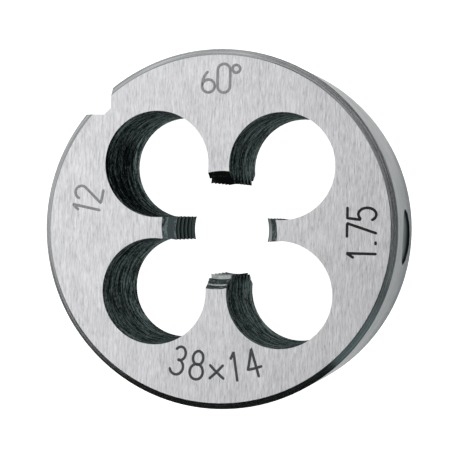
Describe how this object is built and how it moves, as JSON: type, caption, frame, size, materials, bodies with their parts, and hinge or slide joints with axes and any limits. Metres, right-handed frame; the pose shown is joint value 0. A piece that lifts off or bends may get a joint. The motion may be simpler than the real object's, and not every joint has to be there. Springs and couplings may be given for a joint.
{
  "type": "round threading die",
  "caption": "Round threading die: chip holes around an internal cutting thread, chamfered edges, and a notch and conical dimples in the rim for a die stock.",
  "frame": {"origin": "centre of the back face, on the axis of the thread", "axes": "+Z along the axis of the thread and out of the marked face, +X along a land and 1.3 degrees from a clamping dimple, the notch half-way between +Y and -X"},
  "size_m": [0.038, 0.038, 0.014],
  "materials": {
    "tool_steel": "faces ground with fine straight lines, edges turned, chip holes and thread dark as hardened"
  },
  "bodies": {
    "root": {"die_body": "tool_steel"}
  },
  "joints": []
}
